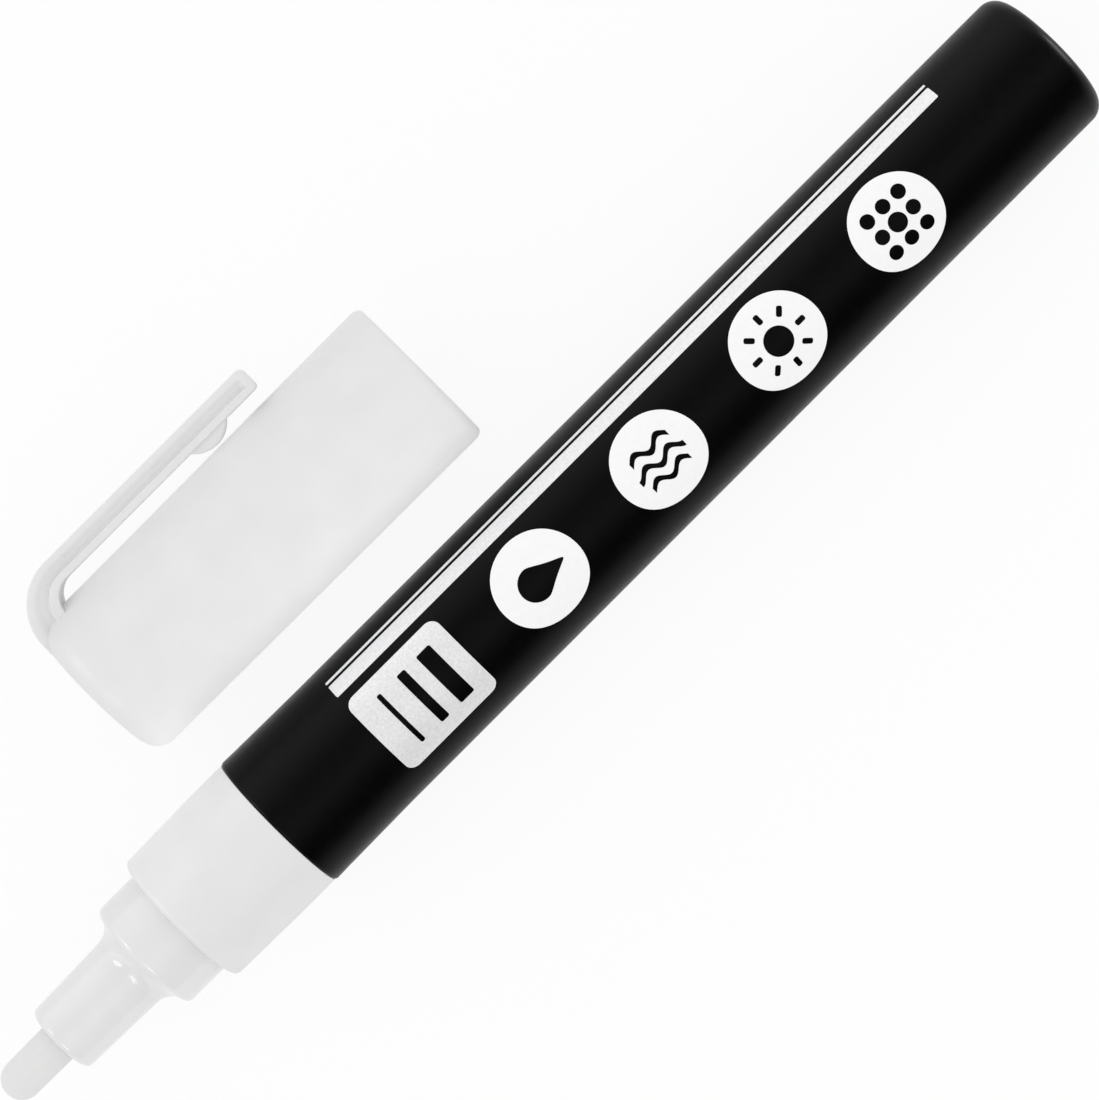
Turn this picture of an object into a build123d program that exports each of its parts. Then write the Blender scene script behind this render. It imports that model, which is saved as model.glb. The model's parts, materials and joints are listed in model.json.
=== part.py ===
# A liquid chalk marker lying on a table with its cap off beside it.
# Millimetres. The pen lies along X with its nib towards -X, Z is up and the table is z = 0.
# The origin is under the middle of the pen and cap together.
import os
from math import cos, radians, sin

from build123d import *

os.makedirs("parts", exist_ok=True)

# Barrel: an aluminium can, swelled at its mouth by the collar's plug
barrel_diameter = 15.0
barrel_length = 102.25
barrel_wall = 0.45
barrel_base = 0.8
barrel_end_rounding = 1.2
barrel_rim_rounding = 0.3
mouth_flare = 0.15
flare_length = 12.0

# Front collar: the grip collar with the plug that closes the barrel
collar_length = 13.15
collar_inset = 0.1
collar_land = 4.0
collar_draft = 0.15
collar_wall = 1.35
collar_front_wall = 2.0
collar_edge_rounding = 0.6
plug_clearance = 0.03
plug_lead = 1.0
plug_lead_chamfer = 0.3
plug_groove_count = 2
plug_groove_width = 3.0
plug_groove_depth = 0.3

# Nozzle: the mouthpiece that holds the nib
collar_shoulder = 1.32
ring_length = 5.0
ring_shoulder = 0.75
ring_edge_rounding = 0.5
ring_edge_room_share = 0.24
neck_wall = 1.6
neck_draft = 0.27
neck_length = 10.8
neck_edge_rounding = 0.6
neck_root_fillet = 1.2
neck_root_room_share = 0.58
shank_wall = 1.65
shank_reach = 7.0
shank_clearance = 0.05
snap_height = 0.15
snap_length = 1.0
snap_clearance = 0.1
chamber_slope = 1.5

# Nib: a felt rod
nib_diameter = 4.1
nib_length = 26.4
nib_exposed = 7.05
nib_clearance = 0.05
nib_rear_chamfer = 0.3

# Valve: the nib pushes the plunger off the seat, and the spring shuts it
seat_thickness = 1.4
seat_clearance = 0.1
seat_ink_gap = 0.7
stem_diameter = 3.2
head_diameter = 7.0
head_thickness = 1.5
guide_diameter = 2.6
guide_clearance = 0.1
guide_overlap = 0.7
cage_wall = 1.2
cage_rear_wall = 1.2
cage_clearance = 0.03
window_count = 4
window_width = 2.6
window_margin = 1.6
spring_length = 10.8
spring_wire = 0.5
spring_coil_diameter = 5.4
spring_turns = 7
spring_end_gap = 0.05

# Mixing ball: loose in the ink, resting on the barrel's wall
ball_diameter = 6.0
ball_clearance = 0.1
ball_from_rim = 60.0

# Cap shell: pushes over the collar up to the barrel's rim
cap_length = 42.9
cap_fit = 0.03
cap_wall = 0.7
cap_draft = 0.15
cap_bore_draft = 0.23
cap_end_wall = 1.2
cap_seat_margin = 0.5
cap_shoulder = 2.1
cap_mouth_rounding = 0.6

# Inner cap: the liner that seals on the nozzle's ring
liner_wall = 0.7
liner_floor = 1.0
liner_flange = 3.0
liner_fit = 0.03
liner_seal_fit = 0.05
liner_neck_gap = 0.6
liner_step_gap = 0.3
liner_seat_gap = 0.5

# Pocket clip: a strip with a groove along each side, bent down to the cap's closed end
clip_length = 31.1
clip_gap = 1.48
clip_height = 2.45
clip_root_width = 7.2
clip_tip_width = 6.4
clip_tip_rounding = 0.5
clip_web = 5.2
clip_flange = 0.7
clip_end_wall = 1.2
clip_outer_bend = 5.55
clip_inner_bend = 2.35
clip_root_thickness = 3.4
clip_root_depth = 3.7
clip_fit = 0.05
bead_from_end = 24.5
bead_chord = 4.9
bead_depth = 1.15
bead_width = 3.0

# Where the cap lies: to the +Y side of the pen, parallel to it, rolled so that its clip points out and up
cap_gap = 4.6
cap_ahead_of_rim = 3.5
cap_roll_degrees = 3.5

# Every cut runs past the surface by this much
overrun = 1.0

# Radii that the pieces share
barrel_radius = barrel_diameter / 2
bore_radius = barrel_radius - barrel_wall
mouth_radius = barrel_radius + mouth_flare
mouth_bore_radius = mouth_radius - barrel_wall
collar_radius = mouth_radius - collar_inset
collar_bore_radius = collar_radius - collar_wall
ring_radius = collar_radius - collar_draft - collar_shoulder
shank_radius = ring_radius - ring_shoulder
chamber_radius = shank_radius - shank_wall
nib_radius = nib_diameter / 2
nib_bore_radius = nib_radius + nib_clearance
neck_front_radius = nib_bore_radius + neck_wall
neck_rear_radius = neck_front_radius + neck_draft
stem_radius = stem_diameter / 2
guide_radius = guide_diameter / 2
cage_radius = collar_bore_radius - cage_clearance
cage_bore_radius = cage_radius - cage_wall
cap_bore_radius = collar_radius + cap_fit
cap_mouth_radius = cap_bore_radius + cap_wall
cap_end_radius = cap_mouth_radius - cap_draft
cap_end_bore_radius = cap_bore_radius - cap_bore_draft

# Stations along the pen, from the barrel's rim, with the nib on the minus side
collar_face = -collar_length
ring_face = collar_face - ring_length
neck_face = ring_face - neck_length
nib_tip = neck_face - nib_exposed
nib_rear = nib_tip + nib_length
collar_inside = collar_face + collar_front_wall
shank_end = collar_inside + shank_reach
chamber_front = collar_inside
seat_rear = shank_end + seat_thickness
head_rear = seat_rear + head_thickness
cage_inside = head_rear + spring_length
cage_end = cage_inside + cage_rear_wall
plug_end = flare_length + plug_lead
barrel_inside = barrel_length - barrel_base

# Stations along the cap, from its closed end. Pushed home, its mouth meets the barrel's rim
cap_seat_end = cap_length + collar_face - cap_seat_margin
liner_base = cap_end_wall + liner_floor
liner_step = cap_length + ring_face - liner_step_gap
liner_end = cap_seat_end - liner_seat_gap

# Places of the pen's axis and the cap's axis, centred on the whole
clip_underside = cap_end_radius + clip_gap
clip_top = clip_underside + clip_height
axis_spacing = mouth_radius + cap_gap + cap_mouth_radius
rim_x = -(nib_tip + barrel_length) / 2
cap_roll = radians(cap_roll_degrees)
clip_reach = clip_top * cos(cap_roll) + clip_root_width / 2 * sin(cap_roll)
pen_y = (mouth_radius - axis_spacing - clip_reach) / 2
cap_y = pen_y + axis_spacing
cap_x = rim_x - cap_ahead_of_rim

# Sketches on the pen's side are drawn along X and up Z from its axis at the rim
pen_side = Plane(origin=(rim_x, pen_y, mouth_radius), x_dir=(1, 0, 0), z_dir=(0, -1, 0))
pen_axis = Axis(pen_side.origin, pen_side.x_dir)

# Sketches on the cap's top are drawn along X and out towards the clip from its axis at the closed end
cap_level = Plane(origin=(cap_x, cap_y, cap_mouth_radius), x_dir=(1, 0, 0), z_dir=(0, 0, 1))
cap_top = cap_level.rotated((cap_roll_degrees, 0, 0))
cap_front = Plane(origin=cap_top.origin, x_dir=(1, 0, 0), z_dir=cap_top.y_dir)
cap_axis = Axis(cap_top.origin, cap_top.x_dir)


with BuildPart() as barrel:
    with BuildSketch(pen_side):
        with BuildLine():
            TangentArc((flare_length, barrel_radius), (0, mouth_radius), tangent=(-1, 0))
            Polyline(
                (0, mouth_radius),
                (0, 0),
                (barrel_length, 0),
                (barrel_length, barrel_radius),
                (flare_length, barrel_radius),
            )
        make_face()
    revolve(axis=pen_axis)
    rear_edge = barrel.edges().filter_by(GeomType.CIRCLE).sort_by(Axis.X)[-1]
    fillet(rear_edge, barrel_end_rounding)
    with BuildSketch(pen_side):
        with BuildLine():
            TangentArc((flare_length, bore_radius), (0, mouth_bore_radius), tangent=(-1, 0))
            Polyline(
                (0, mouth_bore_radius),
                (0, 0),
                (barrel_inside, 0),
                (barrel_inside, bore_radius),
                (flare_length, bore_radius),
            )
        make_face()
    revolve(axis=pen_axis, mode=Mode.SUBTRACT)
    base_edge = barrel.faces().filter_by(Axis.X).sort_by(Axis.X)[-2].edges()
    fillet(base_edge, barrel_end_rounding - barrel_wall)
    mouth_edges = barrel.faces().filter_by(Axis.X).sort_by(Axis.X)[0].edges()
    fillet(mouth_edges.sort_by(SortBy.RADIUS)[-1], barrel_rim_rounding)

with BuildPart() as front_collar:
    with BuildSketch(pen_side):
        with BuildLine():
            Polyline(
                (plug_end, bore_radius - plug_clearance),
                (plug_end, collar_bore_radius),
                (collar_inside, collar_bore_radius),
                (collar_inside, shank_radius + shank_clearance),
                (collar_face, shank_radius + shank_clearance),
                (collar_face, collar_radius - collar_draft),
                (-collar_land, collar_radius),
                (0, collar_radius),
                (0, mouth_bore_radius - plug_clearance),
            )
            TangentArc(
                (flare_length, bore_radius - plug_clearance),
                (0, mouth_bore_radius - plug_clearance),
                tangent=(-1, 0),
            )
            Line(
                (flare_length, bore_radius - plug_clearance),
                (plug_end, bore_radius - plug_clearance),
            )
        make_face()
    revolve(axis=pen_axis)
    face_edges = front_collar.faces().filter_by(Axis.X).sort_by(Axis.X)[0].edges()
    fillet(face_edges.sort_by(SortBy.RADIUS)[-1], collar_edge_rounding)
    lead_edges = front_collar.faces().filter_by(Axis.X).sort_by(Axis.X)[-1].edges()
    chamfer(lead_edges.sort_by(SortBy.RADIUS)[-1], plug_lead_chamfer)
    # Grooves between the plug's sealing ribs
    groove_pitch = flare_length / (plug_groove_count + 1)
    groove_floor = bore_radius - plug_clearance - plug_groove_depth
    for groove in range(plug_groove_count):
        with BuildSketch(pen_side):
            with Locations(((groove + 1) * groove_pitch, groove_floor)):
                Rectangle(plug_groove_width, overrun, align=(Align.CENTER, Align.MIN))
        revolve(axis=pen_axis, mode=Mode.SUBTRACT)

with BuildPart() as nozzle:
    with BuildSketch(pen_side):
        with BuildLine():
            Polyline(
                (neck_face, nib_bore_radius),
                (neck_face, neck_front_radius),
                (ring_face, neck_rear_radius),
                (ring_face, ring_radius),
                (collar_face, ring_radius),
                (collar_face, shank_radius),
                (collar_inside + snap_clearance, shank_radius),
                (collar_inside + snap_clearance, shank_radius + shank_clearance + snap_height),
                (collar_inside + snap_clearance + snap_length, shank_radius),
                (shank_end, shank_radius),
                (shank_end, chamber_radius),
                (chamber_front + chamber_slope, chamber_radius),
                (chamber_front, nib_bore_radius),
                close=True,
            )
        make_face()
    revolve(axis=pen_axis)
    # Both roundings of the ring's front face have to find room on it
    ring_room = ring_radius - neck_rear_radius
    ring_edges = nozzle.faces().filter_by(Axis.X).sort_by(Axis.X)[1].edges()
    fillet(ring_edges.sort_by(SortBy.RADIUS)[0], min(neck_root_fillet, neck_root_room_share * ring_room))
    ring_edges = nozzle.faces().filter_by(Axis.X).sort_by(Axis.X)[1].edges()
    fillet(ring_edges.sort_by(SortBy.RADIUS)[-1], min(ring_edge_rounding, ring_edge_room_share * ring_room))
    tip_edges = nozzle.faces().filter_by(Axis.X).sort_by(Axis.X)[0].edges()
    fillet(tip_edges.sort_by(SortBy.RADIUS)[-1], neck_edge_rounding)

with BuildPart() as nib:
    with BuildSketch(pen_side):
        with BuildLine():
            RadiusArc((nib_tip, 0), (nib_tip + nib_radius, nib_radius), nib_radius)
            Polyline(
                (nib_tip + nib_radius, nib_radius),
                (nib_rear, nib_radius),
                (nib_rear, 0),
                (nib_tip, 0),
            )
        make_face()
    revolve(axis=pen_axis)
    nib_rear_edge = nib.faces().filter_by(Axis.X).sort_by(Axis.X)[-1].edges()
    chamfer(nib_rear_edge, nib_rear_chamfer)

with BuildPart() as valve_seat:
    with BuildSketch(pen_side):
        with BuildLine():
            Polyline(
                (shank_end, stem_radius + seat_ink_gap),
                (shank_end, collar_bore_radius - seat_clearance),
                (seat_rear, collar_bore_radius - seat_clearance),
                (seat_rear, stem_radius + seat_ink_gap),
                close=True,
            )
        make_face()
    revolve(axis=pen_axis)

with BuildPart() as valve_plunger:
    with BuildSketch(pen_side):
        with BuildLine():
            Polyline(
                (nib_rear, 0),
                (nib_rear, stem_radius),
                (seat_rear, stem_radius),
                (seat_rear, head_diameter / 2),
                (head_rear, head_diameter / 2),
                (head_rear, guide_radius),
                (cage_inside + guide_overlap, guide_radius),
                (cage_inside + guide_overlap, 0),
                close=True,
            )
        make_face()
    revolve(axis=pen_axis)

with BuildPart() as valve_cage:
    with BuildSketch(pen_side):
        with BuildLine():
            Polyline(
                (seat_rear, cage_bore_radius),
                (seat_rear, cage_radius),
                (cage_end, cage_radius),
                (cage_end, guide_radius + guide_clearance),
                (cage_inside, guide_radius + guide_clearance),
                (cage_inside, cage_bore_radius),
                close=True,
            )
        make_face()
    revolve(axis=pen_axis)
    # Windows in its side wall let the ink in
    for window in range(window_count):
        window_side = pen_side.rotated((window * 360 / window_count, 0, 0))
        with BuildSketch(window_side):
            with Locations(((seat_rear + cage_inside) / 2, 0)):
                SlotOverall(cage_inside - seat_rear - 2 * window_margin, window_width)
        extrude(amount=cage_radius + overrun, mode=Mode.SUBTRACT)

with BuildPart() as valve_spring:
    wire_inset = spring_wire / 2 + spring_end_gap
    coil_height = spring_length - 2 * wire_inset
    coil_start = (rim_x + head_rear + wire_inset, pen_y, mouth_radius)
    with BuildLine() as coil:
        Helix(
            pitch=coil_height / spring_turns,
            height=coil_height,
            radius=spring_coil_diameter / 2,
            center=coil_start,
            direction=(1, 0, 0),
        )
    with BuildSketch(Plane(origin=coil.line @ 0, z_dir=coil.line % 0)):
        Circle(spring_wire / 2)
    sweep(path=coil.line, is_frenet=True)

with BuildPart() as mixing_ball:
    ball_drop = bore_radius - ball_clearance - ball_diameter / 2
    with Locations((rim_x + ball_from_rim, pen_y, mouth_radius - ball_drop)):
        Sphere(ball_diameter / 2)

with BuildPart() as cap_shell:
    with BuildSketch(cap_top):
        with BuildLine():
            Polyline(
                (0, 0),
                (0, cap_end_radius),
                (cap_length, cap_mouth_radius),
                (cap_length, cap_bore_radius),
                (cap_seat_end, cap_bore_radius),
                (cap_end_wall, cap_end_bore_radius),
                (cap_end_wall, 0),
                close=True,
            )
        make_face()
    revolve(axis=cap_axis)
    fillet(cap_shell.faces().filter_by(Axis.X).sort_by(Axis.X)[0].edges(), cap_shoulder)
    cap_mouth_edges = cap_shell.faces().filter_by(Axis.X).sort_by(Axis.X)[-1].edges()
    fillet(cap_mouth_edges.sort_by(SortBy.RADIUS)[-1], cap_mouth_rounding)

with BuildPart() as inner_cap:
    liner_bore_radius = neck_rear_radius + liner_neck_gap
    seal_radius = ring_radius + liner_seal_fit
    with BuildSketch(cap_top):
        with BuildLine():
            Polyline(
                (cap_end_wall, 0),
                (cap_end_wall, cap_end_bore_radius - liner_fit),
                (cap_end_wall + liner_flange, cap_end_bore_radius - liner_fit),
                (cap_end_wall + liner_flange, liner_bore_radius + liner_wall),
                (liner_step - liner_wall, liner_bore_radius + liner_wall),
                (liner_step - liner_wall, seal_radius + liner_wall),
                (liner_end, seal_radius + liner_wall),
                (liner_end, seal_radius),
                (liner_step, seal_radius),
                (liner_step, liner_bore_radius),
                (liner_base, liner_bore_radius),
                (liner_base, 0),
                close=True,
            )
        make_face()
    revolve(axis=cap_axis)

with BuildPart() as pocket_clip:
    root_bottom = cap_end_radius - clip_root_depth
    # The strip from the side, with its bend and its root
    with BuildSketch(cap_top):
        with BuildLine():
            Polyline(
                (clip_outer_bend, clip_top),
                (clip_length, clip_top),
                (clip_length, clip_underside),
                (clip_root_thickness + clip_inner_bend, clip_underside),
            )
            RadiusArc(
                (clip_root_thickness + clip_inner_bend, clip_underside),
                (clip_root_thickness, clip_underside - clip_inner_bend),
                -clip_inner_bend,
            )
            Polyline(
                (clip_root_thickness, clip_underside - clip_inner_bend),
                (clip_root_thickness, root_bottom),
                (0, root_bottom),
                (0, clip_top - clip_outer_bend),
            )
            RadiusArc((0, clip_top - clip_outer_bend), (clip_outer_bend, clip_top), clip_outer_bend)
        make_face()
    extrude(amount=clip_root_width / 2, both=True)
    # Its width narrows towards the tip
    with BuildSketch(cap_front):
        with BuildLine():
            Polyline(
                (0, -clip_root_width / 2),
                (0, clip_root_width / 2),
                (clip_length, clip_tip_width / 2),
                (clip_length, -clip_tip_width / 2),
                close=True,
            )
        make_face()
    extrude(amount=clip_top + overrun, mode=Mode.INTERSECT)
    fillet(pocket_clip.faces().sort_by(Axis.X)[-1].edges(), clip_tip_rounding)
    # A groove along each side leaves a web between two flanges
    groove_top = clip_top - clip_flange
    groove_bottom = clip_underside + clip_flange
    groove_front = clip_length - clip_end_wall
    groove_back = clip_root_thickness - clip_flange
    for side in (1, -1):
        with BuildSketch(cap_top.offset(side * clip_web / 2)):
            with BuildLine():
                Polyline(
                    (clip_outer_bend, groove_top),
                    (groove_front, groove_top),
                    (groove_front, groove_bottom),
                    (clip_root_thickness + clip_inner_bend, groove_bottom),
                )
                RadiusArc(
                    (clip_root_thickness + clip_inner_bend, groove_bottom),
                    (groove_back, clip_underside - clip_inner_bend),
                    -(clip_inner_bend + clip_flange),
                )
                Polyline(
                    (groove_back, clip_underside - clip_inner_bend),
                    (groove_back, root_bottom),
                    (clip_flange, root_bottom),
                    (clip_flange, clip_top - clip_outer_bend),
                )
                RadiusArc(
                    (clip_flange, clip_top - clip_outer_bend),
                    (clip_outer_bend, groove_top),
                    clip_outer_bend - clip_flange,
                )
            make_face()
        extrude(amount=side * clip_root_width, mode=Mode.SUBTRACT)
    # The bead under the tip that holds on cloth
    bead_radius = (bead_chord**2 / 4 + bead_depth**2) / (2 * bead_depth)
    with BuildSketch(cap_top):
        with BuildLine():
            bead_line = Line(
                (bead_from_end - bead_chord / 2, clip_underside),
                (bead_from_end + bead_chord / 2, clip_underside),
            )
            RadiusArc(bead_line @ 1, bead_line @ 0, bead_radius)
        make_face()
    extrude(amount=bead_width / 2, both=True)
    # Its root is saddled on the cap's shoulder
    with BuildSketch(cap_top) as saddle:
        with BuildLine():
            Polyline(
                (-clip_fit, 0),
                (-clip_fit, cap_end_radius + clip_fit),
                (cap_length, cap_mouth_radius + clip_fit),
                (cap_length, 0),
                close=True,
            )
        make_face()
        fillet(saddle.vertices().sort_by(Axis.X)[:2].sort_by(Axis.Y)[-1], cap_shoulder + clip_fit)
    revolve(axis=cap_axis, mode=Mode.SUBTRACT)

barrel.part.label = "barrel"
export_step(barrel.part, "parts/barrel.step")
front_collar.part.label = "front_collar"
export_step(front_collar.part, "parts/front_collar.step")
nozzle.part.label = "nozzle"
export_step(nozzle.part, "parts/nozzle.step")
nib.part.label = "nib"
export_step(nib.part, "parts/nib.step")
valve_seat.part.label = "valve_seat"
export_step(valve_seat.part, "parts/valve_seat.step")
valve_plunger.part.label = "valve_plunger"
export_step(valve_plunger.part, "parts/valve_plunger.step")
valve_cage.part.label = "valve_cage"
export_step(valve_cage.part, "parts/valve_cage.step")
valve_spring.part.label = "valve_spring"
export_step(valve_spring.part, "parts/valve_spring.step")
mixing_ball.part.label = "mixing_ball"
export_step(mixing_ball.part, "parts/mixing_ball.step")
cap_shell.part.label = "cap_shell"
export_step(cap_shell.part, "parts/cap_shell.step")
inner_cap.part.label = "inner_cap"
export_step(inner_cap.part, "parts/inner_cap.step")
pocket_clip.part.label = "pocket_clip"
export_step(pocket_clip.part, "parts/pocket_clip.step")
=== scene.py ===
import json
from math import atan2, cos, pi, radians, sin, sqrt, tan

import bmesh
import bpy
from mathutils import Matrix, Vector


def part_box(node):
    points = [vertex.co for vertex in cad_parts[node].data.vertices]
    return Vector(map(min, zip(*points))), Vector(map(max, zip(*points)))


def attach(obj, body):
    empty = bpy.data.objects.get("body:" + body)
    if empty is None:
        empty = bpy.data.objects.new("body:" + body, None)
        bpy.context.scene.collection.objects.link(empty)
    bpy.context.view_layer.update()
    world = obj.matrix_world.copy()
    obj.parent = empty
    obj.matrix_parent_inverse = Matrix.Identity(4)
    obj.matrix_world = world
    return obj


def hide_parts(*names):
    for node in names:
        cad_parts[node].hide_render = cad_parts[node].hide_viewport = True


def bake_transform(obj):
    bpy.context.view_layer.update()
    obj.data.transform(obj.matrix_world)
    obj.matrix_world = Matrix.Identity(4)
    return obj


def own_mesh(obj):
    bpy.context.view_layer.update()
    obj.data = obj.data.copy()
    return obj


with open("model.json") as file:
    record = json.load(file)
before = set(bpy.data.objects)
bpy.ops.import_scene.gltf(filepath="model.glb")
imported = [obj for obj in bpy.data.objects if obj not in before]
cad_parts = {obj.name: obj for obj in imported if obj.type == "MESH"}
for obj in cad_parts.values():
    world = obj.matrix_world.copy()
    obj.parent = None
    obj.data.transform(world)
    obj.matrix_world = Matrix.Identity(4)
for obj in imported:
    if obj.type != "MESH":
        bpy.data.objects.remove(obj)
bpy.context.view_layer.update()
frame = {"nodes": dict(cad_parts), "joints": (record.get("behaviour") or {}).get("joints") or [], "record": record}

# A liquid chalk marker with its cap taken off, dressed over the CAD frame.
# Pieces are modelled in millimetres: the pen's along X from the barrel's rim, the cap's from its
# closed end with Y out towards the clip. One matrix for each puts them into the frame in metres.
mm = 0.001
mounts = {mount["name"]: mount for mount in frame["record"]["mounts"]}
joints = {joint["name"]: joint for joint in frame["joints"]}

penAxis = Vector(mounts["barrel_grip"]["pos_m"])
capAxis = Vector(mounts["cap_mouth"]["pos_m"])
clipHinge = Vector(joints["clip_flex"]["axis"])
capRoll = atan2(-clipHinge.y, clipHinge.z)
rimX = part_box("barrel")[0].x
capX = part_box("cap_shell")[0].x
penPlace = Matrix.Translation((rimX, penAxis.y, penAxis.z)) @ Matrix.Scale(mm, 4)
capPlace = (
    Matrix.Translation((capX, capAxis.y, capAxis.z))
    @ Matrix.Rotation(capRoll, 4, "X")
    @ Matrix.Scale(mm, 4)
)


def penStations(node):
    low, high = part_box(node)
    return (low.x - rimX) / mm, (high.x - rimX) / mm


def capStations(node):
    low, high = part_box(node)
    return (low.x - capX) / mm, (high.x - capX) / mm


def boxRadius(node):
    low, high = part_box(node)
    return (high.z - low.z) / 2 / mm


print("frame loaded, pen axis", penAxis[:], "cap roll", capRoll)


# Finishes: each has noise in its colour, its roughness and its bump
noise = {
    "detail": 4.0,
    "bumpDetail": 6.0,
    "stretch": (1, 1, 1),
    "middle": 0.5,
    "shadeSpread": 0.2,
    "roughFrom": {"From Min": 0.3, "From Max": 0.7},
}


def addNode(tree, kind, **inputs):
    node = tree.nodes.new(kind)
    for socket, value in inputs.items():
        node.inputs[socket].default_value = value
    return node


def addGrain(tree, scale, stretch, detail=noise["detail"]):
    # noise in the object's own coordinates, stretch above 1 packs it tighter along that axis
    place = addNode(tree, "ShaderNodeTexCoord")
    mapping = addNode(tree, "ShaderNodeMapping", Scale=stretch)
    grain = addNode(tree, "ShaderNodeTexNoise", Scale=scale, Detail=detail)
    tree.links.new(place.outputs["Object"], mapping.inputs["Vector"])
    tree.links.new(mapping.outputs["Vector"], grain.inputs["Vector"])
    return grain.outputs["Fac"]


def addShades(tree, value, shades, spread):
    # a two-colour ramp over the middle of the noise
    ramp = tree.nodes.new("ShaderNodeValToRGB")
    ramp.color_ramp.elements[0].position = noise["middle"] - spread
    ramp.color_ramp.elements[1].position = noise["middle"] + spread
    ramp.color_ramp.elements[0].color = (*shades[0], 1)
    ramp.color_ramp.elements[1].color = (*shades[1], 1)
    tree.links.new(value, ramp.inputs["Fac"])
    return ramp.outputs["Color"]


def addRange(tree, value, low, high):
    spread = addNode(tree, "ShaderNodeMapRange", **noise["roughFrom"])
    spread.inputs["To Min"].default_value = low
    spread.inputs["To Max"].default_value = high
    tree.links.new(value, spread.inputs["Value"])
    return spread.outputs["Result"]


def makeFinish(name, look):
    material = bpy.data.materials.new(name)
    material.use_nodes = True
    tree = material.node_tree
    shader = tree.nodes["Principled BSDF"]
    stretch = look.get("stretch", noise["stretch"])
    shadeSpread = look.get("shadeSpread", noise["shadeSpread"])
    colourGrain = addGrain(tree, look["colourScale"], stretch)
    shades = addShades(tree, colourGrain, look["shades"], shadeSpread)
    tree.links.new(shades, shader.inputs["Base Color"])
    roughGrain = addGrain(tree, look["roughScale"], stretch)
    tree.links.new(addRange(tree, roughGrain, *look["roughness"]), shader.inputs["Roughness"])
    depth = look["bumpDepth"] * mm
    bump = addNode(tree, "ShaderNodeBump", Strength=look["bumpStrength"], Distance=depth)
    bumpGrain = addGrain(tree, look["bumpScale"], stretch, noise["bumpDetail"])
    tree.links.new(bumpGrain, bump.inputs["Height"])
    tree.links.new(bump.outputs["Normal"], shader.inputs["Normal"])
    for socket, value in look.get("sockets", {}).items():
        shader.inputs[socket].default_value = value
    return material


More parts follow.
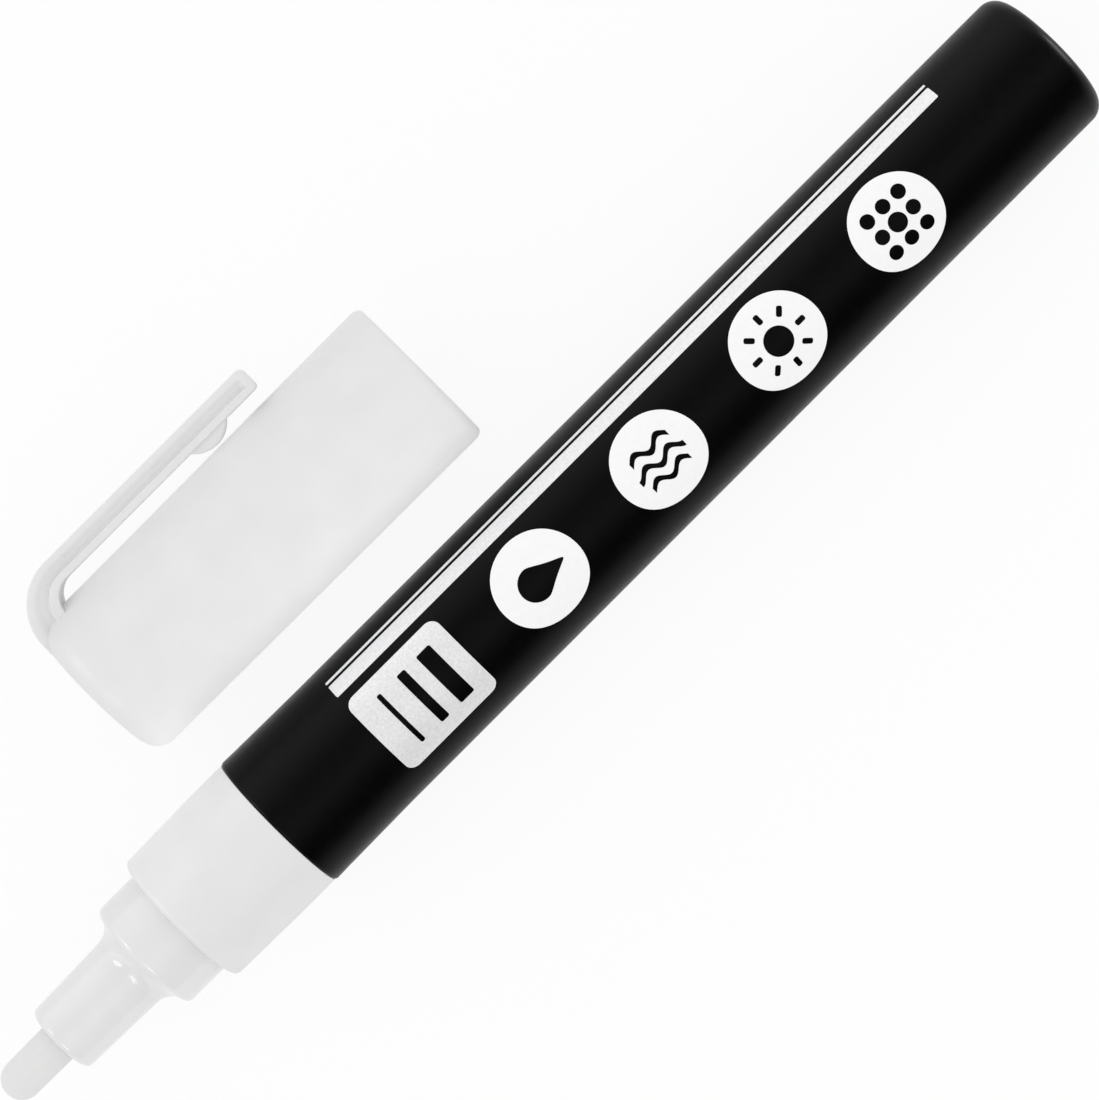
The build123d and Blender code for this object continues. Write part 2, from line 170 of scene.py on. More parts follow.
# scales are per metre, so that 3000 makes grains of about a third of a millimetre, and depths in mm
finishLooks = {
    "blackLacquer": {
        "shades": ((0.0007, 0.0007, 0.0008), (0.0013, 0.0013, 0.0014)),
        "colourScale": 900,
        "roughness": (0.32, 0.39),
        "roughScale": 1400,
        "bumpScale": 5200,
        "bumpDepth": 0.012,
        "bumpStrength": 0.35,
        "sockets": {"Specular IOR Level": 0.08},
    },
    "satinWhite": {
        "shades": ((0.785, 0.785, 0.787), (0.812, 0.812, 0.814)),
        "colourScale": 260,
        "roughness": (0.4, 0.5),
        "roughScale": 800,
        "bumpScale": 3600,
        "bumpDepth": 0.01,
        "bumpStrength": 0.22,
        "sockets": {"Specular IOR Level": 0.35},
    },
    "capWhite": {
        "shades": ((0.758, 0.758, 0.76), (0.784, 0.784, 0.786)),
        "colourScale": 260,
        "roughness": (0.42, 0.52),
        "roughScale": 800,
        "bumpScale": 3600,
        "bumpDepth": 0.01,
        "bumpStrength": 0.22,
        "sockets": {"Specular IOR Level": 0.35},
    },
    "glossWhite": {
        "shades": ((0.79, 0.79, 0.79), (0.815, 0.815, 0.815)),
        "colourScale": 300,
        "roughness": (0.09, 0.15),
        "roughScale": 700,
        "bumpScale": 1500,
        "bumpDepth": 0.01,
        "bumpStrength": 0.12,
        "sockets": {"Specular IOR Level": 0.38},
    },
    "linerWhite": {
        "shades": ((0.74, 0.74, 0.735), (0.79, 0.79, 0.785)),
        "colourScale": 400,
        "roughness": (0.35, 0.45),
        "roughScale": 900,
        "bumpScale": 2600,
        "bumpDepth": 0.01,
        "bumpStrength": 0.2,
        "sockets": {"Specular IOR Level": 0.4},
    },
    "whiteFelt": {
        "shades": ((0.778, 0.778, 0.775), (0.797, 0.797, 0.794)),
        "colourScale": 2600,
        "stretch": (0.18, 1, 1),
        "roughness": (0.85, 0.98),
        "roughScale": 2600,
        "bumpScale": 6500,
        "bumpDepth": 0.03,
        "bumpStrength": 0.3,
        "sockets": {"Specular IOR Level": 0.15, "Sheen Weight": 0.25, "Sheen Roughness": 0.5},
    },
    "greyRubber": {
        "shades": ((0.46, 0.46, 0.46), (0.56, 0.56, 0.56)),
        "colourScale": 700,
        "roughness": (0.6, 0.72),
        "roughScale": 1500,
        "bumpScale": 4000,
        "bumpDepth": 0.02,
        "bumpStrength": 0.3,
        "sockets": {"Specular IOR Level": 0.3},
    },
    "naturalPlastic": {
        "shades": ((0.66, 0.66, 0.65), (0.74, 0.74, 0.73)),
        "colourScale": 350,
        "roughness": (0.36, 0.48),
        "roughScale": 900,
        "bumpScale": 2800,
        "bumpDepth": 0.015,
        "bumpStrength": 0.25,
    },
    "springSteel": {
        "shades": ((0.5, 0.5, 0.5), (0.64, 0.64, 0.64)),
        "colourScale": 1800,
        "roughness": (0.2, 0.32),
        "roughScale": 2500,
        "bumpScale": 5000,
        "bumpDepth": 0.01,
        "bumpStrength": 0.2,
        "sockets": {"Metallic": 1.0},
    },
    "groundSteel": {
        "shades": ((0.54, 0.54, 0.55), (0.64, 0.64, 0.65)),
        "colourScale": 1200,
        "roughness": (0.1, 0.2),
        "roughScale": 3000,
        "bumpScale": 6000,
        "bumpDepth": 0.005,
        "bumpStrength": 0.2,
        "sockets": {"Metallic": 1.0},
    },
    "whiteInk": {
        "shades": ((0.95, 0.95, 0.95), (0.98, 0.98, 0.98)),
        "colourScale": 1500,
        "roughness": (0.45, 0.6),
        "roughScale": 2200,
        "bumpScale": 6000,
        "bumpDepth": 0.008,
        "bumpStrength": 0.25,
        "sockets": {"Specular IOR Level": 0.3},
    },
    "silverInk": {
        "shades": ((0.74, 0.74, 0.75), (0.89, 0.89, 0.9)),
        "colourScale": 4200,
        "shadeSpread": 0.22,
        "roughness": (0.36, 0.6),
        "roughScale": 5200,
        "bumpScale": 9000,
        "bumpDepth": 0.012,
        "bumpStrength": 0.5,
        "sockets": {"Metallic": 0.15},
    },
}
finishes = {name: makeFinish(name, look) for name, look in finishLooks.items()}
print("finishes made:", len(finishes))


# Modelling helpers
meshing = {
    "roundingStep": radians(11),
    "fewestSteps": 3,
    "turnSteps": 160,
    "onAxis": 0.001,
    "mergeDistance": 0.001,
    "thinDistance": 0.0005,
    "sharpDegrees": 40,
}


def roundedFace(mesh, corners):
    # one flat face, each corner given as a place and a rounding radius
    verts = [mesh.verts.new(place) for place, rounding in corners]
    mesh.faces.new(verts)
    for vert, (place, rounding) in zip(verts, corners):
        if rounding:
            turn = vert.calc_edge_angle()
            segments = max(meshing["fewestSteps"], round(turn / meshing["roundingStep"]))
            bmesh.ops.bevel(
                mesh,
                geom=[vert],
                offset=rounding * tan(turn / 2),
                affect="VERTICES",
                segments=segments,
                profile=0.5,
                material=-1,
            )


def turnedMesh(outline, steps=meshing["turnSteps"]):
    # a half section of (station, radius, rounding) corners, turned about X
    mesh = bmesh.new()
    roundedFace(mesh, [(Vector((x, 0, radius)), rounding) for x, radius, rounding in outline])
    bmesh.ops.delete(mesh, geom=mesh.faces[:], context="FACES_ONLY")
    axisLine = [
        edge for edge in mesh.edges if max(vert.co.z for vert in edge.verts) < meshing["onAxis"]
    ]
    bmesh.ops.delete(mesh, geom=axisLine, context="EDGES")
    bmesh.ops.spin(
        mesh,
        geom=mesh.verts[:] + mesh.edges[:],
        cent=(0, 0, 0),
        axis=(1, 0, 0),
        angle=2 * pi,
        steps=steps,
        use_merge=True,
    )
    cleanMesh(mesh)
    return mesh


def cleanMesh(mesh):
    bmesh.ops.remove_doubles(mesh, verts=mesh.verts[:], dist=meshing["mergeDistance"])
    bmesh.ops.dissolve_degenerate(mesh, edges=mesh.edges[:], dist=meshing["thinDistance"])
    bmesh.ops.recalc_face_normals(mesh, faces=mesh.faces[:])


def makePiece(name, mesh, place, finish, sharpDegrees=meshing["sharpDegrees"]):
    mesh.transform(place)
    data = bpy.data.meshes.new(name)
    mesh.to_mesh(data)
    mesh.free()
    data.shade_smooth()
    data.set_sharp_from_angle(angle=radians(sharpDegrees))
    data.materials.append(finishes[finish])
    piece = bpy.data.objects.new(name, data)
    bpy.context.scene.collection.objects.link(piece)
    weighted = piece.modifiers.new("weightedNormal", "WEIGHTED_NORMAL")
    weighted.keep_sharp = True
    return piece


# Barrel: a lacquered aluminium can, its mouth swelled by the plug
barrel = {
    "radius": mounts["barrel_grip"]["dims"]["r_mm"],
    "mouthRadius": boxRadius("barrel"),
    "length": penStations("barrel")[1],
    "wall": 0.45,
    "base": 0.8,
    "endRounding": 1.75,
    "rimRounding": 0.3,
    "rimInnerRounding": 0.08,
    "flareMiddle": 6.0,
    "flareRounding": 350.0,
    "turnSteps": 192,
}


def buildBarrel():
    radius, length, wall = barrel["radius"], barrel["length"], barrel["wall"]
    inside = length - barrel["base"]
    outline = [
        (0, barrel["mouthRadius"] - wall, barrel["rimInnerRounding"]),
        (0, barrel["mouthRadius"], barrel["rimRounding"]),
        (barrel["flareMiddle"], radius, barrel["flareRounding"]),
        (length, radius, barrel["endRounding"]),
        (length, 0, 0),
        (inside, 0, 0),
        (inside, radius - wall, barrel["endRounding"] - wall),
        (barrel["flareMiddle"], radius - wall, barrel["flareRounding"]),
    ]
    mesh = turnedMesh(outline, barrel["turnSteps"])
    piece = makePiece("barrelCan", mesh, penPlace, "blackLacquer")
    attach(piece, "pen")
    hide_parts("barrel")


buildBarrel()
print("barrel turned")


# Front collar: the satin grip collar, with a ribbed plug inside the barrel
collar = {
    "face": penStations("front_collar")[0],
    "plugEnd": penStations("front_collar")[1],
    "radius": mounts["cap_seat"]["dims"]["r_mm"],
    "land": mounts["cap_seat"]["dims"]["length_mm"],
    "draft": 0.15,
    "wall": 1.35,
    "frontWall": 2.0,
    "frontHole": 5.38,
    "holeEdge": 0.08,
    "faceInset": 0.2,
    "frontRounding": 0.6,
    "rimEdge": 0.08,
    "landRounding": 120.0,
    "boreEdge": 0.2,
    "plugRadius": 7.02,
    "plugSwell": 0.15,
    "plugLead": 0.3,
    "plugRibs": (7.5, 4.0, 0.5),
    "ribHalf": 0.5,
    "grooveEnd": 3.0,
    "grooveDepth": 0.3,
    "grooveEdge": 0.1,
}


def buildCollar():
    bore = collar["radius"] - collar["wall"]
    front = collar["face"] + collar["faceInset"]
    inside = collar["face"] + collar["frontWall"]
    plug = collar["plugRadius"]
    groove, grooveEdge = plug - collar["grooveDepth"], collar["grooveEdge"]
    outline = [
        (collar["plugEnd"], bore, collar["boreEdge"]),
        (collar["plugEnd"], plug, collar["plugLead"]),
    ]
    # from rib to rib towards the rim, with a groove before each
    for rib in collar["plugRibs"]:
        outline += [
            (rib + collar["grooveEnd"], plug, 0),
            (rib + collar["grooveEnd"], groove, grooveEdge),
            (rib + collar["ribHalf"], groove, grooveEdge),
            (rib + collar["ribHalf"], plug, 0),
        ]
    outline += [
        (0, plug + collar["plugSwell"], 0),
        (0, collar["radius"], collar["rimEdge"]),
        (-collar["land"], collar["radius"], collar["landRounding"]),
        (front, collar["radius"] - collar["draft"], collar["frontRounding"]),
        (front, collar["frontHole"], collar["holeEdge"]),
        (inside, collar["frontHole"], 0),
        (inside, bore, collar["boreEdge"]),
    ]
    piece = makePiece("frontCollar", turnedMesh(outline), penPlace, "satinWhite")
    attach(piece, "pen")
    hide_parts("front_collar")


buildCollar()
print("front collar turned")


# Nozzle: the glossy mouthpiece with a sealing ring and a tapered neck
nozzle = {
    "neckFace": penStations("nozzle")[0],
    "shankEnd": penStations("nozzle")[1],
    "ringRadius": boxRadius("nozzle"),
    "ringLength": 5.0,
    "ringLeanFoot": -0.3,
    "ringLeanHead": 0.35,
    "ringRounding": 0.6,
    "ringRearRounding": 0.12,
    "neckFrontRadius": 3.7,
    "neckRearRadius": 3.97,
    "neckRounding": 0.6,
    "rootFillet": 2.1,
    "nibBore": 2.1,
    "nibMouthRounding": 0.25,
    "boreRearEdge": 0.2,
    "shankRadius": 5.33,
    "shankEdge": 0.2,
    "snapHeight": 0.2,
    "snapLength": 1.0,
    "snapFrom": 2.1,
    "snapEdge": 0.05,
    "chamberRadius": 3.68,
    "chamberSlope": 1.5,
    "chamberEdge": 0.1,
    "slopeEdge": 0.3,
}


def buildNozzle():
    collarFace = collar["face"]
    ringFace = collarFace - nozzle["ringLength"]
    shank, snapX = nozzle["shankRadius"], collarFace + nozzle["snapFrom"]
    chamberX = collarFace + collar["frontWall"]
    outline = [
        (nozzle["neckFace"], nozzle["nibBore"], nozzle["nibMouthRounding"]),
        (nozzle["neckFace"], nozzle["neckFrontRadius"], nozzle["neckRounding"]),
        (ringFace + nozzle["ringLeanFoot"], nozzle["neckRearRadius"], nozzle["rootFillet"]),
        (ringFace + nozzle["ringLeanHead"], nozzle["ringRadius"], nozzle["ringRounding"]),
        (collarFace + collar["faceInset"], nozzle["ringRadius"], nozzle["ringRearRounding"]),
        (collarFace + collar["faceInset"], shank, 0),
        (snapX, shank, 0),
        (snapX, shank + nozzle["snapHeight"], nozzle["snapEdge"]),
        (snapX + nozzle["snapLength"], shank, 0),
        (nozzle["shankEnd"], shank, nozzle["shankEdge"]),
        (nozzle["shankEnd"], nozzle["chamberRadius"], nozzle["chamberEdge"]),
        (chamberX + nozzle["chamberSlope"], nozzle["chamberRadius"], nozzle["slopeEdge"]),
        (chamberX, nozzle["nibBore"], nozzle["boreRearEdge"]),
    ]
    piece = makePiece("stepNozzle", turnedMesh(outline), penPlace, "glossWhite")
    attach(piece, "pen")
    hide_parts("nozzle")


# Nib: a felt rod with a bullet end
nib = {
    "tip": penStations("nib")[0],
    "rear": penStations("nib")[1],
    "radius": boxRadius("nib"),
    "taper": 0.08,
    "tipRoundingShare": 0.98,
    "rearRounding": 0.3,
    "turnSteps": 96,
    "sharpDegrees": 60,
}


def buildNib():
    tipRadius = nib["radius"] - nib["taper"]
    outline = [
        (nib["tip"], 0, 0),
        (nib["tip"], tipRadius, tipRadius * nib["tipRoundingShare"]),
        (nozzle["neckFace"], nib["radius"], 0),
        (nib["rear"], nib["radius"], nib["rearRounding"]),
        (nib["rear"], 0, 0),
    ]
    mesh = turnedMesh(outline, nib["turnSteps"])
    piece = makePiece("feltNib", mesh, penPlace, "whiteFelt", nib["sharpDegrees"])
    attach(piece, "tip")
    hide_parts("nib")


buildNozzle()
buildNib()
print("nozzle and nib turned")


# Valve spring: round wire wound about the plunger's guide
spring = {
    "start": penStations("valve_spring")[0],
    "end": penStations("valve_spring")[1],
    "wire": 0.5,
    "coil": 5.4,
    "turns": 7,
    "stepsPerTurn": 36,
    "wireSides": 14,
}


def buildSpring():
    wireRadius = spring["wire"] / 2
    steps = spring["turns"] * spring["stepsPerTurn"]
    advance = (spring["end"] - spring["start"] - spring["wire"]) / steps
    mesh = bmesh.new()
    upright = Matrix.Translation((spring["start"] + wireRadius, 0, spring["coil"] / 2))
    bmesh.ops.create_circle(
        mesh,
        segments=spring["wireSides"],
        radius=wireRadius,
        matrix=upright @ Matrix.Rotation(pi / 2, 4, "X"),
    )
    bmesh.ops.spin(
        mesh,
        geom=mesh.verts[:] + mesh.edges[:],
        cent=(0, 0, 0),
        axis=(1, 0, 0),
        dvec=(advance, 0, 0),
        angle=2 * pi * spring["turns"],
        steps=steps,
    )
    openEnds = [edge for edge in mesh.edges if edge.is_boundary]
    bmesh.ops.holes_fill(mesh, edges=openEnds, sides=spring["wireSides"])
    bmesh.ops.recalc_face_normals(mesh, faces=mesh.faces[:])
    piece = makePiece("valveSpring", mesh, penPlace, "springSteel")
    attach(piece, "pen")
    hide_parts("valve_spring")
    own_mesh(piece)


buildSpring()
print("valve spring wound")


# Cap shell: the satin push-on cap
cap = {
    "length": capStations("cap_shell")[1],
    "boreRadius": mounts["cap_mouth"]["dims"]["r_mm"],
    "mouthRadius": boxRadius("cap_shell"),
    "endRadius": 8.13,
    "endBore": 7.35,
    "endBoreRounding": 0.3,
    "endWall": 1.2,
    "boreLength": mounts["cap_mouth"]["dims"]["length_mm"],
    "shoulder": 2.1,
    "mouthRun": 0.95,
    "mouthDrop": 0.64,
    "mouthSteps": 9,
    "mouthInnerRounding": 0.04,
    "turnSteps": 192,
}


def buildCap():
    length = cap["length"]
    outline = [
        (0, 0, 0),
        (0, cap["endRadius"], cap["shoulder"]),
    ]
    # the mouth's outer corner is a quarter of an ellipse
    for step in range(cap["mouthSteps"] + 1):
        angle = pi / 2 * step / cap["mouthSteps"]
        run = cap["mouthRun"] * (1 - sin(angle))
        drop = cap["mouthDrop"] * (1 - cos(angle))
        outline.append((length - run, cap["mouthRadius"] - drop, 0))
    outline += [
        (length, cap["boreRadius"], cap["mouthInnerRounding"]),
        (length - cap["boreLength"], cap["boreRadius"], 0),
        (cap["endWall"], cap["endBore"], cap["endBoreRounding"]),
        (cap["endWall"], 0, 0),
    ]
    mesh = turnedMesh(outline, cap["turnSteps"])
    piece = makePiece("capShell", mesh, capPlace, "capWhite")
    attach(piece, "cap")
    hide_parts("cap_shell")


# Inner cap: the liner that seals on the nozzle's ring
liner = {
    "start": capStations("inner_cap")[0],
    "end": capStations("inner_cap")[1],
    "step": 24.45,
    "flange": 3.0,
    "flangeRadius": 7.32,
    "floor": 1.0,
    "wall": 0.7,
    "bore": 4.57,
    "seal": 6.13,
    "edgeRounding": 0.2,
}


def buildLiner():
    wall, edge = liner["wall"], liner["edgeRounding"]
    flangeEnd = liner["start"] + liner["flange"]
    floorX = liner["start"] + liner["floor"]
    outline = [
        (liner["start"], 0, 0),
        (liner["start"], liner["flangeRadius"], edge),
        (flangeEnd, liner["flangeRadius"], edge),
        (flangeEnd, liner["bore"] + wall, edge),
        (liner["step"] - wall, liner["bore"] + wall, edge),
        (liner["step"] - wall, liner["seal"] + wall, 2 * edge),
        (liner["end"], liner["seal"] + wall, edge),
        (liner["end"], liner["seal"], edge),
        (liner["step"], liner["seal"], edge),
        (liner["step"], liner["bore"], edge),
        (floorX, liner["bore"], 2 * edge),
        (floorX, 0, 0),
    ]
    piece = makePiece("innerCap", turnedMesh(outline), capPlace, "linerWhite")
    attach(piece, "cap")
    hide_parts("inner_cap")


buildCap()
buildLiner()
print("cap and liner turned")


# Pocket clip: a strip with a hollowed side between an outer band and an inner rib,
# bent down onto the cap's shoulder, with a bead under its tip
clip = {
    "length": capStations("pocket_clip")[1],
    "gap": 1.48,
    "height": 2.45,
    "rootWidth": 7.2,
    "tipWidth": 6.4,
    "tipRounding": 0.5,
    "tipSteps": 5,
    "stripSteps": 9,
    "outerBend": 5.55,
    "innerBend": 2.35,
    "bendSteps": 18,
    "rootThickness": 3.65,
    "rootDepth": 3.7,
    "endWall": 0.85,
    "endWallRun": 0.5,
    "rib": 0.75,
    "ribInset": 0.04,
    "ribRounding": 0.14,
    "hollowLean": 0.06,
    "hollowInnerRounding": 0.1,
    "hollowEnd": 1.4,
    "hollowDepth": 0.6,
    "hollowRounding": 0.3,
    "bandStart": 1.85,
    "bandRounding": 0.4,
    "edgeRounding": 0.16,
    "faceCuts": 7,
    "saddleSink": 0.06,
    "saddleSteps": 6,
    "beadFromEnd": 24.5,
    "beadChord": 4.6,
    "beadDepth": 1.15,
    "beadWidth": 5.8,
    "beadSink": 0.3,
    "beadSides": 96,
    "beadRounding": 0.25,
    "beadRoundingSteps": 4,
    "flexEnd": 12.0,
    "sharpDegrees": 35,
}


def capSurface(x, side):
    # height of the cap's outside over the plane through its axis
    shoulder = cap["shoulder"]
    radius = cap["endRadius"]
    if x < shoulder:
        radius += sqrt(shoulder**2 - (shoulder - max(x, 0)) ** 2) - shoulder
    return sqrt(radius**2 - side**2)


def clipSection(mesh):
    # the strip's cross-section, Y up from its underside and Z across
    half = clip["rootWidth"] / 2
    rib, hollow = half - clip["ribInset"], half - clip["hollowDepth"]
    rightSide = [
        (0, rib, clip["ribRounding"]),
        (clip["rib"], rib, clip["ribRounding"]),
        (clip["rib"] + clip["hollowLean"], hollow, clip["hollowInnerRounding"]),
        (clip["hollowEnd"], hollow, clip["hollowRounding"]),
        (clip["bandStart"], half, clip["bandRounding"]),
        (clip["height"], half, clip["edgeRounding"]),
    ]
    leftSide = [(rise, -side, rounding) for rise, side, rounding in reversed(rightSide)]
    corners = rightSide + leftSide
    roundedFace(mesh, [(Vector((0, rise, side)), rounding) for rise, side, rounding in corners])
    bmesh.ops.delete(mesh, geom=mesh.faces[:], context="FACES_ONLY")
    longEdges = [edge for edge in mesh.edges if edge.calc_length() > half]
    bmesh.ops.subdivide_edges(mesh, edges=longEdges, cuts=clip["faceCuts"])


def clipStations():
    # inner and outer point, hollow share and inset of each ring, from the tip round to the root
    under = cap["endRadius"] + clip["gap"]
    top = under + clip["height"]
    length, rounding = clip["length"], clip["tipRounding"]
    thick, inner, outer = clip["rootThickness"], clip["innerBend"], clip["outerBend"]
    tipSteps, stripSteps, bendSteps = clip["tipSteps"], clip["stripSteps"], clip["bendSteps"]
    stations = []
    for step in range(tipSteps + 1):
        angle = pi / 2 * step / tipSteps
        x = length - rounding + rounding * cos(angle)
        stations.append(((x, under), (x, top), 0, rounding * (1 - sin(angle))))
    wallX = length - clip["endWall"]
    stations.append(((wallX, under), (wallX, top), 0, 0))
    hollowX = wallX - clip["endWallRun"]
    for step in range(stripSteps):
        share = step / stripSteps
        innerX = hollowX + (thick + inner - hollowX) * share
        outerX = hollowX + (outer - hollowX) * share
        stations.append(((innerX, under), (outerX, top), 1, 0))
    for step in range(bendSteps + 1):
        angle = pi / 2 * step / bendSteps
        innerPoint = (thick + inner - inner * sin(angle), under - inner + inner * cos(angle))
        outerPoint = (outer - outer * sin(angle), top - outer + outer * cos(angle))
        stations.append((innerPoint, outerPoint, 1, 0))
    bottom = cap["endRadius"] - clip["rootDepth"]
    for step in range(clip["saddleSteps"]):
        stations.append(((thick, bottom), (thick * step / clip["saddleSteps"], bottom), 1, 0))
    return stations


def buildClip():
    height, half = clip["height"], clip["rootWidth"] / 2
    mesh = bmesh.new()
    clipSection(mesh)
    ring = mesh.verts[:]
    edges = mesh.edges[:]
    section = [(vert.co.y, vert.co.z) for vert in ring]
    taper = (clip["tipWidth"] - clip["rootWidth"]) / clip["rootWidth"] / clip["length"]
    for number, (innerPoint, outerPoint, hollow, inset) in enumerate(clipStations()):
        if number == 0:
            bmesh.ops.contextual_create(mesh, geom=edges)
        else:
            made = bmesh.ops.extrude_edge_only(mesh, edges=edges)["geom"]
            edges = [part for part in made if isinstance(part, bmesh.types.BMEdge)]
            ring = [part for part in made if isinstance(part, bmesh.types.BMVert)]
        inner, outer = Vector(innerPoint), Vector(outerPoint)
        for vert, (rise, side) in zip(ring, section):
            inHollow = clip["edgeRounding"] < rise < height - clip["edgeRounding"]
            if inHollow:
                side += (half * (1 if side > 0 else -1) - side) * (1 - hollow)
            share = (rise + inset * (1 - 2 * rise / height)) / height
            point = inner.lerp(outer, share)
            side *= (1 - inset / half) * (1 + taper * point.x)
            seat = capSurface(point.x, side) - clip["saddleSink"]
            level = max(point.y, seat) if point.x < clip["outerBend"] else point.y
            vert.co = (point.x, level, side)
    bmesh.ops.contextual_create(mesh, geom=edges)
    cleanMesh(mesh)
    addBead(mesh)
    piece = makePiece("pocketClip", mesh, capPlace, "capWhite", clip["sharpDegrees"])
    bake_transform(piece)
    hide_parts("pocket_clip")


def addBead(mesh):
    # a slice of a disc whose flat side is sunk into the strip
    depth, chord, width = clip["beadDepth"], clip["beadChord"], clip["beadWidth"]
    radius = (chord**2 / 4 + depth**2) / (2 * depth)
    under = cap["endRadius"] + clip["gap"]
    bead = bmesh.new()
    middle = (clip["beadFromEnd"], under - depth + radius, -width / 2)
    bmesh.ops.create_circle(bead, segments=clip["beadSides"], radius=radius, cap_ends=True)
    bmesh.ops.translate(bead, verts=bead.verts[:], vec=middle)
    bmesh.ops.bisect_plane(
        bead,
        geom=bead.verts[:] + bead.edges[:] + bead.faces[:],
        plane_co=(0, under + clip["beadSink"], 0),
        plane_no=(0, 1, 0),
        clear_outer=True,
    )
    grown = bmesh.ops.extrude_face_region(bead, geom=bead.faces[:])["geom"]
    farVerts = [part for part in grown if isinstance(part, bmesh.types.BMVert)]
    bmesh.ops.translate(bead, verts=farVerts, vec=(0, 0, width))
    rims = [edge for edge in bead.edges if abs(edge.verts[0].co.z - edge.verts[1].co.z) < width / 2]
    bmesh.ops.bevel(
        bead,
        geom=rims,
        offset=clip["beadRounding"],
        affect="EDGES",
        segments=clip["beadRoundingSteps"],
        profile=0.5,
        material=-1,
    )
    bmesh.ops.recalc_face_normals(bead, faces=bead.faces[:])
    loose = bpy.data.meshes.new("bead")
    bead.to_mesh(loose)
    bead.free()
    mesh.from_mesh(loose)
    bpy.data.meshes.remove(loose)


buildClip()
print("pocket clip bent")


# Print on the barrel: white discs with plain signs, silver stripes and a silver panel of line widths.
# Laid out flat, X along the pen from the rim and Y round the barrel towards -Y, then wrapped.
printing = {
    "stripWidth": 0.35,
    "under": 0.02,
    "inkHeight": 0.02,
    "signHeight": 0.035,
    "sharpDegrees": 30,
    "discRow": radians(10) * barrel["radius"],
    "discStations": (33.5, 49.0, 64.5, 80.0),
    "discRadius": 4.7,
    "discSides": 72,
    "stripeRow": radians(-41) * barrel["radius"],
    "stripeEnds": (12.5, 91.0),
    "stripeWidth": 1.7,
    "stripeRounding": 0.15,
    "hairlineWidth": 0.35,
    "hairlineGap": 0.55,
    "hairlineRounding": 0.1,
    "panelEnds": (12.5, 24.0),
    "panelWidth": 9.6,
    "panelRounding": 1.1,
    "gaugeWidths": (0.5, 1.0, 1.7),
    "gaugeLength": 6.2,
    "gaugeRounding": 0.2,
}


def layBar(mesh, x, y, length, width, rounding, turn=0):
    spots = [(-length, -width), (length, -width), (length, width), (-length, width)]
    swing = Matrix.Translation((x, y, 0)) @ Matrix.Rotation(turn, 4, "Z")
    roundedFace(mesh, [(swing @ Vector((a / 2, b / 2, 0)), rounding) for a, b in spots])


def layDisc(mesh, x, y, radius):
    return bmesh.ops.create_circle(
        mesh,
        cap_ends=True,
        segments=printing["discSides"],
        radius=radius,
        matrix=Matrix.Translation((x, y, 0)),
    )["verts"]


# the four signs, each laid about the middle of its disc
dropSign = {"radius": 1.75, "pull": 1.75, "pinch": 0.62}


def layDrop(mesh, x, y):
    radius, pull = dropSign["radius"], dropSign["pull"]
    verts = layDisc(mesh, x, y, radius)
    for vert in verts:
        lean = max(0, (vert.co.x - x) / radius)
        vert.co.x += pull * lean**3
        vert.co.y = y + (vert.co.y - y) * (1 - dropSign["pinch"] * lean**2)
    bmesh.ops.translate(mesh, verts=verts, vec=(-pull / 3, 0, 0))  # back to the disc's middle


wavesSign = {
    "span": 5.6,
    "outerShare": 0.82,
    "swell": 0.42,
    "waveLength": 2.8,
    "thick": 0.6,
    "pitch": 1.55,
    "points": 40,
}


def layWaves(mesh, x, y):
    swell, waveLength = wavesSign["swell"], wavesSign["waveLength"]
    thick, points = wavesSign["thick"], wavesSign["points"]
    for row in (-1, 0, 1):
        reach = wavesSign["span"] * (1 if row == 0 else wavesSign["outerShare"])
        base = y + row * wavesSign["pitch"] - thick / 2
        line = [
            mesh.verts.new((x + reach * (point / points - 0.5), base, 0))
            for point in range(points + 1)
        ]
        for vert in line:
            vert.co.y += swell * cos(2 * pi * (vert.co.x - x) / waveLength)
        edges = [mesh.edges.new(pair) for pair in zip(line, line[1:])]
        made = bmesh.ops.extrude_edge_only(mesh, edges=edges)["geom"]
        upper = [part for part in made if isinstance(part, bmesh.types.BMVert)]
        bmesh.ops.translate(mesh, verts=upper, vec=(0, thick, 0))


sunSign = {
    "radius": 1.45,
    "rays": 8,
    "rayLength": 1.05,
    "rayWidth": 0.55,
    "rayReach": 2.75,
    "rayRounding": 0.2,
}


def laySun(mesh, x, y):
    rays, reach = sunSign["rays"], sunSign["rayReach"]
    layDisc(mesh, x, y, sunSign["radius"])
    for ray in range(rays):
        angle = 2 * pi * ray / rays
        layBar(
            mesh,
            x + reach * cos(angle),
            y + reach * sin(angle),
            sunSign["rayLength"],
            sunSign["rayWidth"],
            sunSign["rayRounding"],
            angle,
        )


dotsSign = {"pitch": 2.0, "radius": 0.72, "middleRadius": 0.95}


def layDots(mesh, x, y):
    pitch = dotsSign["pitch"]
    for column in (-1, 0, 1):
        for row in (-1, 0, 1):
            radius = dotsSign["radius"] if row or column else dotsSign["middleRadius"]
            layDisc(mesh, x + column * pitch, y + row * pitch, radius)


